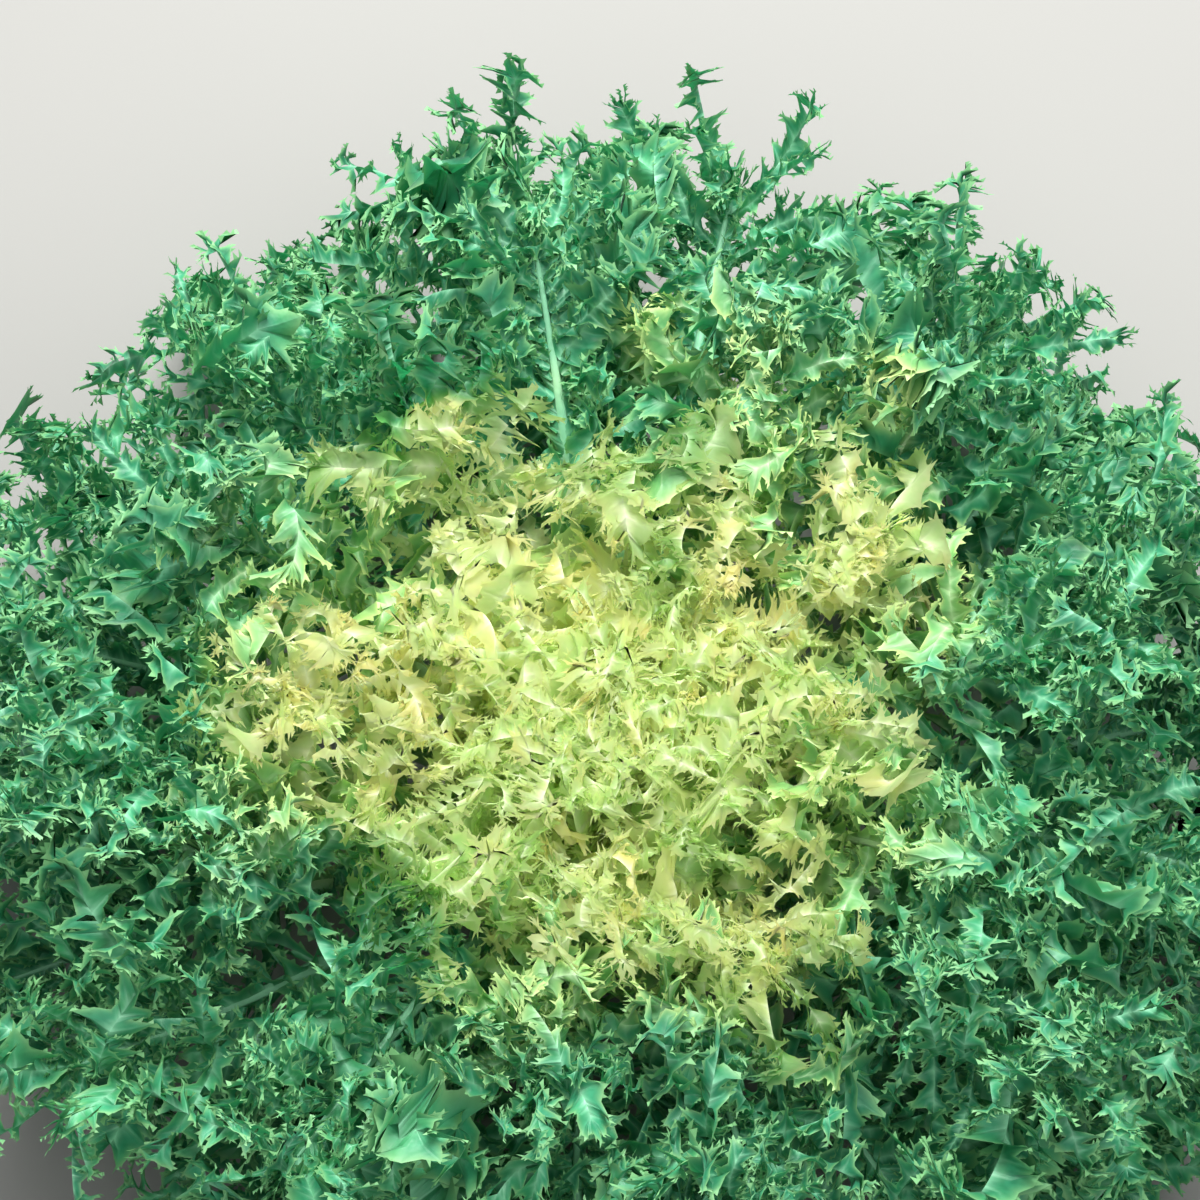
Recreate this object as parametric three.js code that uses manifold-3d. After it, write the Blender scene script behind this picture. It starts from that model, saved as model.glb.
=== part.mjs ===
// A head of curly endive standing on its cut stem. A short stem core carries one spiral of separate
// leaves, from the wide, drooping outer ones to the small, upright ones of the pale heart. Each leaf
// is a thin arched blade, cut to its rib into toothed lobes that lift and dip in turn. The youngest
// leaves are one bud, fused to a slim core.
//
// Every leaf lies on a surface of its own, turned about the stem. The surfaces are nested like the
// layers of an onion, so that the leaves fill the head without meeting each other.
//
// Units are millimetres and degrees, with +Z up. The origin is the centre of the stem's cut face.

import * as THREE from "three";
import { mergeVertices } from "three/addons/utils/BufferGeometryUtils.js";
import Module from "manifold-3d";

// The head as a whole: the leaf tips lie on a dome, a superellipse turned about the stem.
const HEAD_RADIUS = 203;
const DOME_HEIGHT = 150;
const DOME_BASE = 12;
const DOME_POWER = 0.625;
const LAST_TIP_TURN = 89.3;

// The spiral of leaves, from rank 0 for the lowest, outermost leaf to rank 1 for the innermost.
const LEAF_COUNT = 54;
const GOLDEN_ANGLE = 137.508;
const START_AZIMUTH = -15;
const AZIMUTH_JITTER = 3;
const SIDEWAYS_DRIFT = 6;
const TIP_JITTER = 5;

// The stem core, and the stretch of it that carries the leaves.
const STEM_HEIGHT = 56;
const STEM_FOOT_RADIUS = 20;
const STEM_WIDEST_RADIUS = 23.5;
const STEM_WIDEST_HEIGHT = 7;
const STEM_TOP_RADIUS = 4;
const STEM_SIDES = 20;
const FIRST_ROOT_HEIGHT = 11;
const LAST_ROOT_HEIGHT = 52;
const ROOT_DROP = 4;
const ROOT_GAP = 0.6;

// How a leaf leaves the stem and how its tip lies, as angles above the horizon. The handles are the
// lengths of a leaf path's two control arms, as shares of the distance from its root to its tip.
const OUTER_START_ANGLE = 11;
const INNER_START_ANGLE = 90;
const START_ANGLE_POWER = 0.75;
const OUTER_TIP_ANGLE = -24;
const INNER_TIP_ANGLE = 92;
const TIP_ANGLE_POWER = 2;
const START_HANDLE = 0.42;
const TIP_HANDLE = 0.34;

// A leaf's blade. Its stations are shares of its path, from the root at 0 to the tip at 1.
const BLADE_THICKNESS = 0.9;
const OUTER_HALF_WIDTH = 56;
const INNER_HALF_WIDTH = 12;
const WIDTH_POWER = 2.1;
const STALK_STATIONS = [0, 0.17, 0.32];
const LOBE_STATIONS = [0.44, 0.55, 0.65, 0.74, 0.82, 0.89];
const LEAST_WRAP_RADIUS = 20;

// The uncut band along the rib, and the keel under the rib of an outermost leaf.
const BAND_SHARE = 0.27;
const BAND_WIDENS = [0.2, 0.7];
const STALK_HALF_WIDTH = 4.2;
const STALK_KEEL = 2.4;
const TIP_KEEL = 0.5;

// The lobes: where they grow and shorten again, how they lean, and how far their ends lift or dip.
const LOBES_GROW = [0.28, 0.68];
const LOBES_SHORTEN = [0.74, 0.95];
const FIRST_LOBE_REACH = 0.3;
const LAST_LOBE_REACH = 0.72;
const FIRST_LOBE_LEAN = 24;
const LAST_LOBE_LEAN = 56;
const OUTER_RUFFLE = 9;
const INNER_RUFFLE = 0.3;
const LEAST_LIFT = 0.7;
const LIFT_POWER = 1.3;

// A lobe's outline, as shares along its base and out to its end.
const BACK_TOOTH = [0.06, 0.72];
const NOTCH = [0.34, 0.56];
const LOBE_TIP = [0.66, 1];

// The rim of a leaf's end lobe from right to left, as shares across it and out to its end, and how
// far each point lifts as a share of the ruffle.
const END_RIM = [
  [-0.9, 0.75, -0.5],
  [-0.42, 0.62, 0],
  [-0.3, 1.1, 0.45],
  [0.05, 0.72, 0],
  [0.34, 1.15, -0.45],
  [0.44, 0.62, 0],
  [0.9, 0.72, 0.5],
];
const END_SPREAD = 0.45;

// The bud of youngest leaves on top of the stem.
const BUD_GAP = 0.3;
const BUD_HEIGHT = 58;
const BUD_CORE_RADIUS = 3.6;
const BUD_SHOULDER = 0.5;
const BUD_SIDES = 8;
const BUD_LEAVES = 7;
const BUD_LEAF_LENGTH = 62;
const BUD_LAST_LENGTH = 0.72;
const BUD_LEAF_HALF_WIDTH = 6.5;
const BUD_ROOT_WIDTH = 0.35;
const BUD_ROOT_HEIGHT = 3;
const BUD_ROOT_RADIUS = 1.6;
const BUD_FLARE = 6.5;
const BUD_WRAP = 5;
const BUD_ROWS = [0, 0.4, 0.75];
const BUD_TEETH = [[-0.8, 0.95], [-0.35, 0.84], [0, 1], [0.35, 0.84], [0.8, 0.95]];

// Leaf finishes from the outside in. The leaves that end within a circle are the pale heart. It lies
// a little aside of the stem, towards +Y. Round it come the lime leaves, from a rank on.
const HEART_REACH = 108;
const HEART_SHIFT = 10;
const LIME_FROM_RANK = 0.56;
const FINISHES = {
  green: new THREE.MeshStandardMaterial({ color: 0x2f7a45, roughness: 0.55, metalness: 0 }),
  lime: new THREE.MeshStandardMaterial({ color: 0x8dbb52, roughness: 0.52, metalness: 0 }),
  heart: new THREE.MeshStandardMaterial({ color: 0xd2d66a, roughness: 0.5, metalness: 0 }),
  stem: new THREE.MeshStandardMaterial({ color: 0xd9dcb4, roughness: 0.6, metalness: 0 }),
};

// What each leaf draws a number for. The lobes take their numbers from DRAWS.lobes on.
const DRAWS = { azimuth: 1, drift: 2, shortfall: 3, lobes: 10 };

const wasm = await Module();
wasm.setup();

const { clamp, degToRad: radians, lerp: mix, smoothstep } = THREE.MathUtils;

// A repeatable number from 0 to 1 for one leaf and one purpose: the fraction of a large sine.
function draw(leaf, purpose) {
  const value = Math.sin(leaf * 12.9898 + purpose * 78.233 + 4.137) * 43758.5453;
  return value - Math.floor(value);
}

// The same draw, from -1 to 1.
function sway(leaf, purpose) {
  return 2 * draw(leaf, purpose) - 1;
}

// The azimuth of a leaf along the spiral.
function spiralAngle(index) {
  return START_AZIMUTH + index * GOLDEN_ANGLE;
}

// A unit vector at an angle above the horizon, in the plane of a leaf's path.
function heading(angle) {
  return new THREE.Vector3(Math.cos(radians(angle)), Math.sin(radians(angle)), 0);
}

// The stem's radius at a height above its widest ring.
function stemRadius(height) {
  const climb = (height - STEM_WIDEST_HEIGHT) / (STEM_HEIGHT - STEM_WIDEST_HEIGHT);
  return mix(STEM_WIDEST_RADIUS, STEM_TOP_RADIUS, clamp(climb, 0, 1));
}

// The sizes and the path of one leaf. Its path is drawn as radius and height about the stem.
class Leaf {
  constructor(index) {
    this.index = index;
    this.rank = index / (LEAF_COUNT - 1);
    this.azimuth = radians(spiralAngle(index) + AZIMUTH_JITTER * sway(index, DRAWS.azimuth));
    this.drift = radians(SIDEWAYS_DRIFT * sway(index, DRAWS.drift));
    this.halfWidth = mix(OUTER_HALF_WIDTH, INNER_HALF_WIDTH, this.rank ** WIDTH_POWER);
    this.ruffle = mix(OUTER_RUFFLE, INNER_RUFFLE, this.rank);
    this.path = this.pathFromStem();
    this.length = this.path.getLength();
  }

  // Where the leaf grows from the stem, a little clear of it.
  root() {
    const height = mix(FIRST_ROOT_HEIGHT, LAST_ROOT_HEIGHT, this.rank);
    return new THREE.Vector3(stemRadius(height - ROOT_DROP) + ROOT_GAP, height, 0);
  }

  // Where the leaf ends, on the dome. The tips crowd together at the foot and the top of the dome.
  tip() {
    const turn = radians((LAST_TIP_TURN * (1 - Math.cos(Math.PI * this.rank))) / 2);
    const shortfall = TIP_JITTER * (1 - this.rank) * draw(this.index, DRAWS.shortfall);
    const reach = (HEAD_RADIUS - shortfall) * Math.cos(turn) ** DOME_POWER;
    const rise = DOME_BASE + DOME_HEIGHT * Math.sin(turn) ** DOME_POWER;
    return new THREE.Vector3(reach, rise, 0);
  }

  pathFromStem() {
    const root = this.root();
    const tip = this.tip();
    const span = root.distanceTo(tip);
    const startAngle = mix(OUTER_START_ANGLE, INNER_START_ANGLE, this.rank ** START_ANGLE_POWER);
    const tipAngle = mix(OUTER_TIP_ANGLE, INNER_TIP_ANGLE, this.rank ** TIP_ANGLE_POWER);
    return new THREE.CubicBezierCurve3(
      root,
      root.clone().addScaledVector(heading(startAngle), START_HANDLE * span),
      tip.clone().addScaledVector(heading(tipAngle), -TIP_HANDLE * span),
      tip,
    );
  }

  // The point of the leaf at share along its path, aside from its rib and lifted off its blade.
  // A share past 1 goes straight on from the tip.
  at(share, aside, lift) {
    const along = Math.min(share, 1);
    const point = this.path.getPointAt(along);
    const tangent = this.path.getTangentAt(along);
    const past = (share - along) * this.length;
    const radius = point.x + past * tangent.x - lift * tangent.y;
    const height = point.y + past * tangent.y + lift * tangent.x;
    const wrap = Math.max(point.x, LEAST_WRAP_RADIUS);
    const azimuth = this.azimuth + this.drift * along ** 2 + aside / wrap;
    return new THREE.Vector3(radius * Math.cos(azimuth), radius * Math.sin(azimuth), height);
  }

  // The half width of the uncut band along the rib, which widens from the stalk into the blade.
  bandHalfWidth(share) {
    const widest = BAND_SHARE * this.halfWidth;
    const stalk = Math.min(STALK_HALF_WIDTH, widest);
    return mix(stalk, widest, smoothstep(share, ...BAND_WIDENS));
  }

  // How far the lobes reach past the band: short at first, longest in the leaf's upper half.
  lobeReach(share) {
    const growth = mix(FIRST_LOBE_REACH, 1, smoothstep(share, ...LOBES_GROW));
    const shortening = mix(1, LAST_LOBE_REACH, smoothstep(share, ...LOBES_SHORTEN));
    return (this.halfWidth - this.bandHalfWidth(share)) * growth * shortening;
  }

  // The depth of the keel under the rib.
  keel(share) {
    return (mix(STALK_KEEL, TIP_KEEL, share) * this.halfWidth) / OUTER_HALF_WIDTH;
  }
}

// A thin sheet of triangles that grows point by point and is then given its thickness.
class Sheet {
  points = [];
  keels = [];
  faces = [];

  // Adds a point, with the depth of the keel under it, and returns its number.
  add(point, keel = 0) {
    this.points.push(point);
    this.keels.push(keel);
    return this.points.length - 1;
  }

  // Adds a triangle, with its corners in the order for the left side, +1, or the right side, -1.
  face(side, a, b, c) {
    this.faces.push(side > 0 ? [a, b, c] : [a, c, b]);
  }

  // Adds a fan of triangles from one point to the points of a rim.
  fan(side, hub, rim) {
    for (let i = 0; i + 1 < rim.length; i++) this.face(side, hub, rim[i], rim[i + 1]);
  }

  // The sheet's normal at each point, from the faces around it.
  normals() {
    const sums = this.points.map(() => new THREE.Vector3());
    for (const face of this.faces) {
      const [a, b, c] = face.map((i) => this.points[i]);
      const normal = b.clone().sub(a).cross(c.clone().sub(a));
      face.forEach((i) => sums[i].add(normal));
    }
    return sums.map((sum) => sum.normalize());
  }

  // The closed solid: the sheet's upper face, its lower face split the same way, and its walls.
  solid(thickness) {
    const count = this.points.length;
    const normals = this.normals();
    const offset = (i, depth) => this.points[i].clone().addScaledVector(normals[i], depth);
    const upper = this.points.map((_, i) => offset(i, thickness / 2));
    const lower = this.points.map((_, i) => offset(i, -thickness / 2 - this.keels[i]));
    const triangles = [];
    const edges = new Map();
    for (const [a, b, c] of this.faces) {
      triangles.push(a, b, c, c + count, b + count, a + count);
      for (const [from, to] of [[a, b], [b, c], [c, a]]) {
        if (!edges.delete(`${to},${from}`)) edges.set(`${from},${to}`, [from, to]);
      }
    }
    for (const [from, to] of edges.values()) {
      triangles.push(to, from, from + count, to, from + count, to + count);
    }
    const positions = [...upper, ...lower].flatMap((point) => point.toArray());
    return new THREE.BufferGeometry()
      .setAttribute("position", new THREE.Float32BufferAttribute(positions, 3))
      .setIndex(triangles);
  }
}

// A toothed lobe between two stations, on one side of the rib. It leans forward, and its end lifts.
function addLobe(sheet, leaf, side, first, last, lift) {
  const corner = ([across, out]) => {
    const share = mix(first.share, last.share, across);
    const lean = radians(mix(FIRST_LOBE_LEAN, LAST_LOBE_LEAN, share));
    const reach = leaf.lobeReach(share) * out;
    const along = share + (reach * Math.sin(lean)) / leaf.length;
    const aside = leaf.bandHalfWidth(share) + reach * Math.cos(lean);
    return sheet.add(leaf.at(along, side * aside, lift * out ** LIFT_POWER));
  };
  const [start, end] = side > 0 ? [first.left, last.left] : [first.right, last.right];
  const backTooth = corner(BACK_TOOTH);
  const notch = corner(NOTCH);
  const tip = corner(LOBE_TIP);
  sheet.face(side, start, notch, backTooth);
  sheet.face(side, start, end, notch);
  sheet.face(side, notch, end, tip);
}

// The lobe at the leaf's end: a waved fan of teeth round the last station.
function addEndLobe(sheet, leaf, last) {
  const half = leaf.bandHalfWidth(last.share);
  const reach = leaf.lobeReach(last.share);
  const rim = END_RIM.map(([across, out, lift]) => {
    const along = last.share + (out * reach) / leaf.length;
    const aside = across * (half + END_SPREAD * reach * out);
    return sheet.add(leaf.at(along, aside, lift * leaf.ruffle));
  });
  sheet.fan(1, last.middle, [last.right, ...rim, last.left]);
}

// One whole leaf as a sheet: the band along its rib, its side lobes and its end lobe.
function leafSheet(leaf) {
  const sheet = new Sheet();
  const stations = [...STALK_STATIONS, ...LOBE_STATIONS].map((share) => {
    const half = leaf.bandHalfWidth(share);
    return {
      share,
      left: sheet.add(leaf.at(share, half, 0)),
      middle: sheet.add(leaf.at(share, 0, 0), leaf.keel(share)),
      right: sheet.add(leaf.at(share, -half, 0)),
    };
  });
  for (let i = 0; i + 1 < stations.length; i++) {
    const [near, far] = [stations[i], stations[i + 1]];
    sheet.fan(1, near.middle, [far.middle, far.left, near.left]);
    sheet.fan(-1, near.middle, [far.middle, far.right, near.right]);
    if (near.share < STALK_STATIONS.at(-1)) continue;
    for (const side of [1, -1]) {
      const turn = (i % 2 ? -1 : 1) * side;
      const size = mix(LEAST_LIFT, 1, draw(leaf.index, DRAWS.lobes + 2 * i + side));
      addLobe(sheet, leaf, side, near, far, turn * size * leaf.ruffle);
    }
  }
  addEndLobe(sheet, leaf, stations.at(-1));
  return sheet;
}

// A solid turned about the upright axis from its profile of [radius, height] points.
function turned(profile, sides) {
  const points = profile.map(([radius, height]) => new THREE.Vector2(radius, height));
  return new THREE.LatheGeometry(points, sides).rotateX(Math.PI / 2);
}

// The stem core: a cut foot, a shoulder and a cone that the leaves spiral up.
function stemGeometry() {
  const profile = [
    [0, 0],
    [STEM_FOOT_RADIUS, 0],
    [STEM_WIDEST_RADIUS, STEM_WIDEST_HEIGHT],
    [STEM_TOP_RADIUS, STEM_HEIGHT],
    [0, STEM_HEIGHT],
  ];
  return turned(profile, STEM_SIDES);
}

// A closed geometry as a solid that can be joined to another.
function toSolid(geometry) {
  const bare = new THREE.BufferGeometry().setAttribute("position", geometry.getAttribute("position"));
  bare.setIndex(geometry.getIndex());
  const merged = mergeVertices(bare, 1e-3);
  return new wasm.Manifold(
    new wasm.Mesh({
      numProp: 3,
      vertProperties: merged.getAttribute("position").array,
      triVerts: new Uint32Array(merged.getIndex().array),
    }),
  );
}

// A joined solid as a geometry.
function toGeometry(solid) {
  const { vertProperties, triVerts } = solid.getMesh();
  return new THREE.BufferGeometry()
    .setAttribute("position", new THREE.BufferAttribute(vertProperties, 3))
    .setIndex(new THREE.BufferAttribute(triVerts, 1));
}

// One small, upright leaf of the bud: a narrow arched blade that flares to a toothed end.
function budLeafSheet(index) {
  const sheet = new Sheet();
  const length = BUD_LEAF_LENGTH * mix(1, BUD_LAST_LENGTH, index / BUD_LEAVES);
  const place = (share, across) => {
    const radius = BUD_ROOT_RADIUS + BUD_FLARE * share ** 2;
    const aside = across * BUD_LEAF_HALF_WIDTH * mix(BUD_ROOT_WIDTH, 1, share);
    const azimuth = radians(spiralAngle(index)) + aside / (radius + BUD_WRAP);
    const height = BUD_ROOT_HEIGHT + share * length;
    return sheet.add(new THREE.Vector3(radius * Math.cos(azimuth), radius * Math.sin(azimuth), height));
  };
  const rows = BUD_ROWS.map((share) => [-1, 0, 1].map((across) => place(share, across)));
  for (let i = 0; i + 1 < rows.length; i++) {
    const [near, far] = [rows[i], rows[i + 1]];
    sheet.fan(-1, near[0], [far[0], far[1], near[1]]);
    sheet.fan(-1, near[1], [far[1], far[2], near[2]]);
  }
  const [right, middle, left] = rows.at(-1);
  const teeth = BUD_TEETH.map(([across, share]) => place(share, across));
  sheet.fan(-1, middle, [right, ...teeth, left]);
  return sheet;
}

// The bud: a slim core on top of the stem, with the youngest leaves fused to it.
function budGeometry() {
  const profile = [
    [0, 0],
    [BUD_CORE_RADIUS, 0],
    [BUD_CORE_RADIUS, BUD_SHOULDER * BUD_HEIGHT],
    [0, BUD_HEIGHT],
  ];
  let bud = toSolid(turned(profile, BUD_SIDES));
  for (let index = 0; index < BUD_LEAVES; index++) {
    bud = bud.add(toSolid(budLeafSheet(index).solid(BLADE_THICKNESS)));
  }
  return toGeometry(bud);
}

// The name of a leaf's finish, which goes by where the leaf ends and by its rank.
function finishOf(leaf) {
  const tip = leaf.at(1, 0, 0);
  if (Math.hypot(tip.x, tip.y - HEART_SHIFT) < HEART_REACH) return "heart";
  return leaf.rank < LIME_FROM_RANK ? "green" : "lime";
}

function namedMesh(name, geometry, finish) {
  const mesh = new THREE.Mesh(geometry, FINISHES[finish]);
  mesh.name = name;
  return mesh;
}

const head = new THREE.Group();
head.add(namedMesh("stem_core", stemGeometry(), "stem"));
for (let index = 0; index < LEAF_COUNT; index++) {
  const leaf = new Leaf(index);
  const finish = finishOf(leaf);
  const number = String(index + 1).padStart(2, "0");
  head.add(namedMesh(`${finish}_leaf_${number}`, leafSheet(leaf).solid(BLADE_THICKNESS), finish));
}
const bud = namedMesh("heart_bud", budGeometry(), "heart");
bud.position.z = STEM_HEIGHT + BUD_GAP;
head.add(bud);

export default head;
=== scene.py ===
"""The finished look of a curly endive head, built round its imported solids.

Each leaf of the frame gives way to a finer one on the same path: a ribbed, veined blade whose lobes fan
out into fingers and teeth that tilt and curl. Lengths are in metres and angles in degrees.
"""

import logging
import math
from collections.abc import Callable
from dataclasses import dataclass, field, replace
from enum import Enum
from typing import ClassVar

import bpy
import numpy as np
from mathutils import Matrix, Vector


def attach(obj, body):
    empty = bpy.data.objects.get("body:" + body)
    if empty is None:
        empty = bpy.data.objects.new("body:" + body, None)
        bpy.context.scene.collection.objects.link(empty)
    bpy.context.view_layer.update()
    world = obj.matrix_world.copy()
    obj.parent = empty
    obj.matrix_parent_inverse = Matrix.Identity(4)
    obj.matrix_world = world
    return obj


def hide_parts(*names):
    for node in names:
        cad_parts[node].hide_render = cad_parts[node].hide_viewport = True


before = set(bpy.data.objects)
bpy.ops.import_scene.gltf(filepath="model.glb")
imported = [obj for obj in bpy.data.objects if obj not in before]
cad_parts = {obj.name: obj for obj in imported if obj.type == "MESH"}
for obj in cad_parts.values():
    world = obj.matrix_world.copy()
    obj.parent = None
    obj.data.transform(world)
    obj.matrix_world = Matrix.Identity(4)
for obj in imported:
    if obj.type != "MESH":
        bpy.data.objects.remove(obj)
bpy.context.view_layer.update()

SEED = 20417
BODY = "root"

# The least length that anything is divided by.
TINY = 1e-6

# The pale heart lies this far aside of the stem, towards +Y. A leaf's colour goes by the distance from
# there, and round each of these spots (x, y and radius) it counts as that much further, which is
# greener, or nearer, which is paler.
HEART_SHIFT = 0.010
TONE_SPOTS = (
    (0.026, -0.030, 0.022, 0.05),
    (0.012, 0.042, 0.022, 0.06),
    (-0.052, 0.030, 0.014, 0.04),
    (0.066, 0.022, 0.016, 0.05),
    (-0.074, -0.060, 0.040, 0.07),
    (-0.060, 0.118, 0.044, 0.07),
    (0.006, 0.086, 0.040, 0.04),
    (0.010, -0.126, 0.055, 0.07),
    (-0.086, 0.012, 0.044, -0.06),
    (0.084, 0.052, 0.042, -0.055),
    (-0.050, 0.090, 0.013, -0.11),
    (0.012, 0.130, 0.014, -0.06),
    (0.084, 0.106, 0.014, -0.06),
)

# Where the flat core of a spot ends, as a share of its radius.
SPOT_CORE = 0.4

Colour = tuple[float, float, float, float]
Number = float | np.ndarray
Pair = tuple[float, float]
Triple = tuple[float, float, float]
log = logging.getLogger("endive")


def srgb(red: int, green: int, blue: int) -> Colour:
    """Turns an ordinary 0 to 255 colour into the linear colour that a shader takes.

    Args:
        red: Red, 0 to 255.
        green: Green, 0 to 255.
        blue: Blue, 0 to 255.

    Returns:
        The linear colour, with an alpha of 1.
    """
    # The standard curve: a straight line up to 10 of 255, and a power above.
    parts = (red, green, blue)
    linear = [((part / 255 + 0.055) / 1.055) ** 2.4 if part > 10 else part / 3294 for part in parts]
    return (linear[0], linear[1], linear[2], 1.0)


def mix(low: Number, high: Number, share: Number) -> Number:
    """Returns what lies at a share of the way from low to high."""
    return low + (high - low) * share


def smoothstep(value: Number, low: float, high: float) -> np.ndarray:
    """Returns 0 below low, 1 above high and a smooth step between them."""
    share = np.clip((np.asarray(value, float) - low) / (high - low), 0.0, 1.0)
    return share * share * (3.0 - 2.0 * share)


def ramp(value: Number, low: float, high: float, begins: float, ends: float) -> np.ndarray:
    """Returns low below where a change begins, high above where it ends and a smooth step between."""
    return mix(low, high, smoothstep(value, begins, ends))


class Purpose(Enum):
    """What a leaf of the frame takes a repeatable number for."""

    AZIMUTH = 1
    DRIFT = 2
    TIP_RADIUS = 3
    TIP_HEIGHT = 4
    TIP_ANGLE = 5


def draw(leaf: int, purpose: Purpose) -> float:
    """Returns the repeatable number from 0 to 1 that a leaf of the frame takes for one purpose."""
    value = math.sin(leaf * 12.9898 + purpose.value * 78.233 + 4.137) * 43758.5453
    return value - math.floor(value)


def sway(leaf: int, purpose: Purpose) -> float:
    """Returns the same number as draw, but from -1 to 1."""
    return 2.0 * draw(leaf, purpose) - 1.0


def ease_off(value: np.ndarray, knee: float, most: float) -> np.ndarray:
    """Leaves values below a knee alone and keeps all others below a limit.

    Args:
        value: The values.
        knee: Where they begin to be held back.
        most: The limit that they near.

    Returns:
        The values after that.
    """
    over = np.maximum(value - knee, 0.0)
    return np.minimum(value, knee) + over / (1.0 + over / (most - knee))


class Kind(Enum):
    """The sorts of leaf, from the outside of the head to its centre."""

    GREEN = "green"
    LIME = "lime"
    HEART = "heart"
    BUD = "bud"


@dataclass(frozen=True)
class Frill:
    """How a sort of leaf is cut and curled. Its rib carries lobes, and their edges are cut into fingers.

    Attributes:
        pairs: Pairs of lobes along the rib.
        size: The lobes' length, as a multiple of the solid's.
        least: The least length of a lobe.
        slim: Half a lobe's width, as a share of its length.
        finger: The distance between fingers along a lobe's edge.
        cut: How deep the notches between fingers are, as a share of the way to the lobe's rib.
        tooth: How far the teeth stand out.
        cup: How far every lobe turns up from the blade.
        tilt: How much further the lobes rise and sink in turn.
        twist: How far they turn about their own ribs.
        curl: How far they bend along their ribs.
        ruffle: How far a lobe's blade rolls up and down beside its rib.
        hook: How far the fingers curl, up and down in turn.
        swerve: How far they bend sideways.
        wave: How far the whole leaf rolls up and down.
        wrap: The least radius that the leaf is wrapped round.
        holes: The share of the fingers with a hole at the foot.
    """

    pairs: int
    size: float
    least: float
    slim: float
    finger: float
    cut: float
    tooth: float
    cup: float
    tilt: float
    twist: float
    curl: float
    ruffle: float
    hook: float
    swerve: float
    wave: float
    wrap: float
    holes: float = 0.12


GREEN_FRILL = Frill(
    pairs=24, size=1.35, least=0.026, slim=0.17, finger=0.0042, cut=0.64, tooth=0.0014, cup=24, tilt=44,
    twist=120, curl=120, ruffle=45, hook=110, swerve=45, wave=0.004, wrap=0.02,
)
HEART_FRILL = Frill(
    pairs=13, size=1.4, least=0.032, slim=0.21, finger=0.0038, cut=0.62, tooth=0.0018, cup=8, tilt=44,
    twist=140, curl=200, ruffle=80, hook=120, swerve=55, wave=0.004, wrap=0.08, holes=0.4,
)
FRILLS = {
    Kind.GREEN: GREEN_FRILL,
    Kind.LIME: replace(GREEN_FRILL, pairs=23, slim=0.19, cut=0.6, ruffle=50, wrap=0.05),
    Kind.HEART: HEART_FRILL,
    Kind.BUD: replace(HEART_FRILL, pairs=9, size=1.35, least=0.028, cup=4, wave=0.003, wrap=0.2),
}

# What sets a broad, calmer lobe apart from its sort's other ones.
BROAD = {
    "slim": 0.3, "finger": 0.0044, "cut": 0.34, "ruffle": 45.0, "hook": 60.0, "twist": 50.0, "holes": 0.0,
}


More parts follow.
